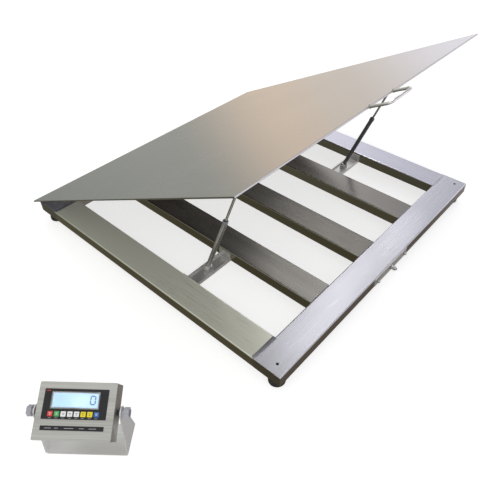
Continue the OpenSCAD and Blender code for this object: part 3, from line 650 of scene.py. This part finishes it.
def make_foot_details():
    """The bare thread over each foot and the ribs round its pad."""
    for end, sy in (("front", -1), ("rear", 1)):
        for side, sx in zip(SIDES, SIGNS):
            thread, grip = bmesh.new(), bmesh.new()
            at = BASE @ shift(sx * CELL_X, sy * CELL_Y, 0)
            profile = []
            for k in range(THREAD_TURNS):
                profile += [(THREAD_ROOT, THREAD_START + k), (THREAD_CREST, THREAD_START + 0.5 + k)]
            lathe(thread, profile, at, 32)
            for z in RIB_HEIGHTS:
                ring(grip, at @ shift(0, 0, z), PAD_RADIUS, 0.5, 64)
            foot = f"foot_{end}_{side}"
            new_piece(f"foot_thread_{end}_{side}", thread, foot, BOLT)
            new_piece(f"pad_ribs_{end}_{side}", grip, foot, RUBBER)


FOOT_PIN_CAP = [(6.0, 14.5), (5.2, 15.4), (3.4, 16.2), (0, 16.5)]
HEAD_PIN_CAP = [(4.0, 13.0), (3.4, 13.6), (0, 13.9)]
FOOT_CLIP, HEAD_CLIP, ROD_RINGS = 12.3, 12.5, (-12.8, -4.2)
CRIMP_HEIGHTS, TUBE_END, COLLAR_START = (24, 240), 278.0, 266.0


def make_strut_details():
    """Clips and domed ends on the pins, the wiper at the collar and the crimp round the tube."""
    for side, sign in zip(SIDES, SIGNS):
        strut = strut_frame(sign)
        barrel, piston = f"strut_barrel_{side}", f"strut_piston_{side}"
        caps = bmesh.new()
        for s in SIGNS:
            place = BASE @ shift(sign * STRUT_X, *STRUT_FOOT) @ spin(90 * s, "Y")
            lathe(caps, FOOT_PIN_CAP, place, 32)
            ring(caps, place @ shift(0, 0, FOOT_CLIP), 6.6, 0.6)
        new_piece(f"foot_pin_caps_{side}", caps, "platform", BOLT)
        crimp = bmesh.new()
        for z in CRIMP_HEIGHTS:
            ring(crimp, strut @ shift(0, 0, z), 7.85, 0.45)
        new_piece(f"strut_crimps_{side}", crimp, barrel, BOLT)
        wiper = bmesh.new()
        ring(wiper, strut @ shift(0, 0, TUBE_END), 5.2, 0.9)
        ring(wiper, strut @ shift(0, 0, COLLAR_START), 8.6, 0.7)
        new_piece(f"strut_wiper_{side}", wiper, barrel, STRUT_BLACK)
        clips = bmesh.new()
        for s in SIGNS:
            place = strut @ shift(0, 0, STRUT_LENGTH) @ spin(90 * s, "Y")
            ring(clips, place @ shift(0, 0, HEAD_CLIP), 4.9, 0.45)
            lathe(clips, HEAD_PIN_CAP, place, 32)
        for z in ROD_RINGS:
            ring(clips, strut @ shift(0, 0, STRUT_LENGTH + z), 5.4, 0.45)
        new_piece(f"head_pin_clips_{side}", clips, piston, BOLT)


CELL_INSET, CELL_FACE, GAUGE_Z, GAUGE_RADIUS, GAUGE_HALF = 42, 15, 55.5, 10.4, 0.9


def make_cell_details():
    """Potted gauge pockets on both faces of each load cell."""
    pots = bmesh.new()
    pocket = [(0, -GAUGE_HALF), (GAUGE_RADIUS, -GAUGE_HALF), (GAUGE_RADIUS, GAUGE_HALF), (0, GAUGE_HALF)]
    for sx in SIGNS:
        for sy in SIGNS:
            for s in SIGNS:
                at = shift(sx * (CELL_X - CELL_INSET), sy * CELL_Y + s * CELL_FACE, GAUGE_Z)
                lathe(pots, pocket, BASE @ at @ spin(90, "X"), 40)
    new_piece("gauge_pots", pots, "platform", GLAND)


FACE, KEY_FACE, DISPLAY_FACE = -27.0, -28.6, -25.42
KEY_START, KEY_PITCH, KEY_COUNT = -58.3, 15.87, len(KEY_ORDER)
WINDOW_X, WINDOW_Z, WINDOW_WIDTH, WINDOW_HEIGHT = -2.6, 24.4, 114, 37
STRIP_Z, STRIP_DASHES = -39.1, ((-58, 16), (-38, 9), (-8, 22), (22, 12), (48, 18))
LEGEND_Z, MARK_Y, MARK_DEPTH, MARK_ROUND = -16.3, FACE - 1.05, 0.3, 0.08
LAMP_X, LAMP_Z = -70.5, 45.8
KEY_DASHES, KEY_DASH_ROUND = ((6.2, -5.6), (3.6, -8.8)), 0.06
FIGURE_LEFT, FIGURE_RIGHT, FIGURE_LOW, FIGURE_HIGH, STROKE = 33.5, 44.9, 15.8, 34.9, 2.7
KNOB_NECK = 112.2
KNOB_CAP = [(9.0, 124.0), (9.0, 124.6), (8.2, 125.2), (3.0, 124.9), (0, 124.8)]
SEAM_X, SEAM_Z, SEAM_Y, SEAM_RADIUS = 93.6, 66.6, -24, 0.5 * MM
PLATE_X, PLATE_Z, PLATE_Y, PLATE_SIZE = -18, 12, 27.15, (70, 0.5, 36)
RIVET_X, RIVET_Z = 31, 14
RIVET = [(1.6, 27.35), (1.3, 28.0), (0, 28.2)]


def key_x(index):
    """Middle of a key across the faceplate, counted from 0."""
    return KEY_START + index * KEY_PITCH


def make_faceplate_details():
    """The window's trim, and short dashes where the faceplate has its legends."""
    trim = bmesh.new()
    edge_x, edge_z = WINDOW_WIDTH / 2 + 0.9, WINDOW_HEIGHT / 2 + 0.9
    across, upright = (WINDOW_WIDTH + 3, 0.5, 0.7), (0.7, 0.5, WINDOW_HEIGHT + 1.1)
    rails = ((0, edge_z, across), (0, -edge_z, across), (edge_x, 0, upright), (-edge_x, 0, upright))
    for dx, dz, size in rails:
        block(trim, size, HEAD_FRAME @ shift(WINDOW_X + dx, FACE - 1.1, WINDOW_Z + dz), 0.1)
    new_piece("window_trim", trim, "head", HOUSING)
    dashes = bmesh.new()
    for at, width in STRIP_DASHES:
        block(dashes, (width, MARK_DEPTH, 1.3), HEAD_FRAME @ shift(at, MARK_Y, STRIP_Z), MARK_ROUND)
    for i in range(KEY_COUNT):
        block(dashes, (7, MARK_DEPTH, 1.0), HEAD_FRAME @ shift(key_x(i), MARK_Y, LEGEND_Z), MARK_ROUND)
    new_piece("panel_dashes", dashes, "head", KNOB)
    lamp = bmesh.new()
    block(lamp, (10, MARK_DEPTH, 1.6), HEAD_FRAME @ shift(LAMP_X, MARK_Y, LAMP_Z), MARK_ROUND)
    new_piece("panel_mark", lamp, "head", KEYS["red"])


def make_display_figure():
    """A seven-segment zero without its middle bar."""
    figure = bmesh.new()
    middle_x, middle_z = (FIGURE_LEFT + FIGURE_RIGHT) / 2, (FIGURE_LOW + FIGURE_HIGH) / 2
    bar = (FIGURE_RIGHT - FIGURE_LEFT - 2.6, 0.2, STROKE)
    places = [(middle_x, z, bar) for z in (FIGURE_HIGH, FIGURE_LOW)]
    for x in (FIGURE_LEFT, FIGURE_RIGHT):
        places.append((x, (middle_z + FIGURE_HIGH) / 2, (STROKE, 0.2, FIGURE_HIGH - middle_z - 1.4)))
        places.append((x, (middle_z + FIGURE_LOW) / 2, (STROKE, 0.2, middle_z - FIGURE_LOW - 1.4)))
    for x, z, size in places:
        block(figure, size, HEAD_FRAME @ shift(x, DISPLAY_FACE, z), 0.05, 1)
    new_piece("display_figure", figure, "head", INK)


def make_key_marks():
    """Two dashes on each key, pale on the dark keys and black on the light ones."""
    for i, colour in enumerate(KEY_ORDER):
        marks = bmesh.new()
        for width, z in KEY_DASHES:
            at = HEAD_FRAME @ shift(key_x(i), KEY_FACE - 0.04, z)
            block(marks, (width, 0.24, 1.1), at, KEY_DASH_ROUND, 1)
        pale = colour in ("red", "green", "blue")
        slot, material = ("key_white", KEYS["white"]) if pale else ("gland_black", GLAND)
        new_piece(f"key_mark_{i + 1}", marks, f"button_{i + 1}", material)


def make_knob_details():
    """A dished cap and a ring on each tilt knob."""
    for side, sign in zip(SIDES, SIGNS):
        place = HEAD_FRAME @ spin(90 * sign, "Y")
        cap = bmesh.new()
        lathe(cap, KNOB_CAP, place, 40)
        new_piece(f"knob_cap_{side}", cap, f"knob_{side}", CAP)
        edge = bmesh.new()
        ring(edge, place @ shift(0, 0, KNOB_NECK), 8.6, 0.6)
        new_piece(f"knob_ring_{side}", edge, f"knob_{side}", CAP)


def make_housing_details():
    """The seam round the housing's front, and a blank riveted plate on its back."""
    hem = bmesh.new()
    for s in SIGNS:
        tube(hem, [HEAD_FRAME @ Vector((s * SEAM_X, SEAM_Y, z)) for z in (-61, 61)], SEAM_RADIUS, 8)
    for s in SIGNS:
        tube(hem, [HEAD_FRAME @ Vector((x, SEAM_Y, s * SEAM_Z)) for x in (-88, 88)], SEAM_RADIUS, 8)
    new_piece("front_seam_line", hem, "head", HOUSING)
    plate = bmesh.new()
    block(plate, PLATE_SIZE, HEAD_FRAME @ shift(PLATE_X, PLATE_Y, PLATE_Z), 0.15)
    new_piece("blank_rating_plate", plate, "head", FOIL)
    rivets = bmesh.new()
    for sx in SIGNS:
        for sz in SIGNS:
            at = shift(PLATE_X + sx * RIVET_X, 0, PLATE_Z + sz * RIVET_Z) @ spin(-90, "X")
            lathe(rivets, RIVET, HEAD_FRAME @ at, 20)
    new_piece("plate_rivets", rivets, "head", BOLT)


make_frame_welds()
make_deck_welds()
make_corner_details()
make_panel_details()
make_foot_details()
make_strut_details()
make_cell_details()
make_faceplate_details()
make_display_figure()
make_key_marks()
make_knob_details()
make_housing_details()

for name in ("front_channel", "rear_channel", "left_outer_beam", "left_inner_beam", "centre_beam",
             "right_inner_beam", "right_outer_beam", "strut_brackets", "strut_deck_brackets", "access_panel",
             "junction_box", "load_cells", "cell_mount_plates"):
    soften(name, 0.6)
for name in ("indicator_stand", "indicator_housing", "indicator_back"):
    soften(name, 0.5)
for name in ("panel_screws", "outlet_gland", "back_screws", "indicator_gland", "keypad_panel",
             "foot_lock_nuts", "strut_foot_pins", *(f"foot_stud_{c}" for c in CORNERS),
             *(f"key_{number}" for number in range(1, KEY_COUNT + 1))):
    soften(name, 0.25)
for name in ("tilt_knob_left", "tilt_knob_right"):
    soften(name, 1.2, 3)

# ---------------------------------------------------------------- stage


FLOOR_HALF = 30.0
BACKDROP = [(28, -0.01), (28, 25), (0, 34)]


def glowing_paper(name, albedo, rough, glow):
    """Matt paper that gives off a little light of its own, and isn't sampled as a lamp."""
    s = Shader(name, (albedo, albedo, albedo), 0.0, rough)
    s.set("Specular IOR Level", 0.0)
    s.set("Emission Color", (1, 1, 1, 1))
    s.set("Emission Strength", glow)
    s.mat.cycles.emission_sampling = "NONE"
    return s


def add_to_stage(name, mesh, material):
    """Links a mesh as part of the stage, not of the object."""
    mesh.materials.append(material.mat)
    thing = bpy.data.objects.new(name, mesh)
    bpy.context.scene.collection.objects.link(thing)
    return thing


def make_stage():
    """Pale floor, lifted a little so that the shade under the frame stays light, and a plain backdrop."""
    mesh = bpy.data.meshes.new("floor")
    corners = [(-1, -1), (1, -1), (1, 1), (-1, 1)]
    mesh.from_pydata([(x * FLOOR_HALF, y * FLOOR_HALF, 0) for x, y in corners], [], [(0, 1, 2, 3)])
    floor = add_to_stage("floor", mesh, glowing_paper("floor_paper", 0.60, 0.9, 0.65))
    floor.visible_glossy = False
    sweep = bmesh.new()
    lathe(sweep, BACKDROP, Matrix.Identity(4), 64)
    mesh = bpy.data.meshes.new("backdrop")
    sweep.to_mesh(mesh)
    sweep.free()
    backdrop = add_to_stage("backdrop", mesh, glowing_paper("backdrop_paper", 0.0, 1.0, 0.97))
    for ray in ("glossy", "diffuse", "shadow", "transmission"):
        setattr(backdrop, f"visible_{ray}", False)


def area_light(name, at, aim, size, power, color=(1, 1, 1), glossy=True):
    """Adds a soft lamp that casts no shadows; glossy says whether reflections show it."""
    data = bpy.data.lights.new(name, "AREA")
    data.shape = "RECTANGLE"
    data.size, data.size_y = size
    data.energy = power
    data.color = color
    data.use_shadow = False
    lamp = bpy.data.objects.new(name, data)
    lamp.visible_glossy = glossy
    lamp.location = at
    lamp.rotation_euler = (Vector(aim) - Vector(at)).to_track_quat("-Z", "Y").to_euler()
    bpy.context.scene.collection.objects.link(lamp)
    return lamp


def make_world():
    """Surround: dark below, a grey to warm to lilac sweep round the horizon, and a softer one overhead."""
    world = bpy.data.worlds.new("surround")
    bpy.context.scene.world = world
    world.use_nodes = True
    tree = world.node_tree
    background = tree.nodes["Background"]
    coords = tree.nodes.new("ShaderNodeTexCoord").outputs["Generated"]

    def toward(x, y, z):
        n = tree.nodes.new("ShaderNodeVectorMath")
        n.operation = "DOT_PRODUCT"
        n.inputs[1].default_value = (x, y, z)
        tree.links.new(coords, n.inputs[0])
        return n.outputs["Value"]

    def scaled(value, low, high, kind):
        n = tree.nodes.new("ShaderNodeMapRange")
        n.interpolation_type = kind
        n.inputs["From Min"].default_value = low
        n.inputs["From Max"].default_value = high
        tree.links.new(value, n.inputs["Value"])
        return n.outputs["Result"]

    def ramp(value, low, high, stops):
        n = tree.nodes.new("ShaderNodeValToRGB")
        n.color_ramp.interpolation = "EASE"
        elements = n.color_ramp.elements
        while len(elements) < len(stops):
            elements.new(0.5)
        for element, (at, color) in zip(elements, stops):
            element.position = (at - low) / (high - low)
            element.color = (*color, 1)
        tree.links.new(scaled(value, low, high, "LINEAR"), n.inputs["Fac"])
        return n.outputs["Color"]

    def blend(value, low, high, a, b):
        n = tree.nodes.new("ShaderNodeMix")
        n.data_type = "RGBA"
        tree.links.new(scaled(value, low, high, "SMOOTHSTEP"), n.inputs["Factor"])
        tree.links.new(a, n.inputs[6])
        tree.links.new(b, n.inputs[7])
        return n.outputs[2]

    sweep = (0.766, -0.643, 0)
    horizon = ramp(toward(*sweep), -0.5, 0.5, [
        (-0.45, (0.30, 0.32, 0.29)), (-0.12, (0.40, 0.41, 0.38)), (0.06, (0.86, 0.71, 0.57)),
        (0.20, (0.80, 0.73, 0.66)), (0.40, (1.05, 1.03, 1.12)),
    ])
    overhead = ramp(toward(*sweep), -0.5, 0.5, [
        (-0.45, (0.66, 0.67, 0.64)), (0.10, (0.90, 0.91, 0.92)), (0.24, (1.00, 1.00, 1.06)),
        (0.36, (0.54, 0.54, 0.56)), (0.48, (0.36, 0.36, 0.38)),
    ])
    below = ramp(toward(*sweep), -0.5, 0.5, [(-0.4, (0.10, 0.09, 0.06)), (0.4, (0.16, 0.14, 0.12))])
    height = toward(0, 0, 1)
    sky = blend(height, 0.15, 0.55, horizon, overhead)
    whole = blend(height, -0.62, -0.38, below, sky)
    tree.links.new(whole, background.inputs["Color"])
    background.inputs["Strength"].default_value = 1.0


make_stage()
make_world()
# The key leaves the deck plate out, so that its brushed top shows no blown-out patch from behind.
key = area_light("key", (1.15, 0.22, 1.94), (-0.32, -0.55, 0.08), (0.7, 0.7), 11)
lit = bpy.data.collections.new("lit_by_key")
for name, node_object in NODES.items():
    if name != "deck_plate":
        lit.objects.link(node_object)
key.light_linking.receiver_collection = lit
area_light("fill", (-3.0, -2.2, 2.2), (-1.0, -0.3, 0.1), (1.6, 1.6), 34, (1.0, 0.99, 0.97), False)
bpy.context.scene.view_settings.view_transform = "Standard"
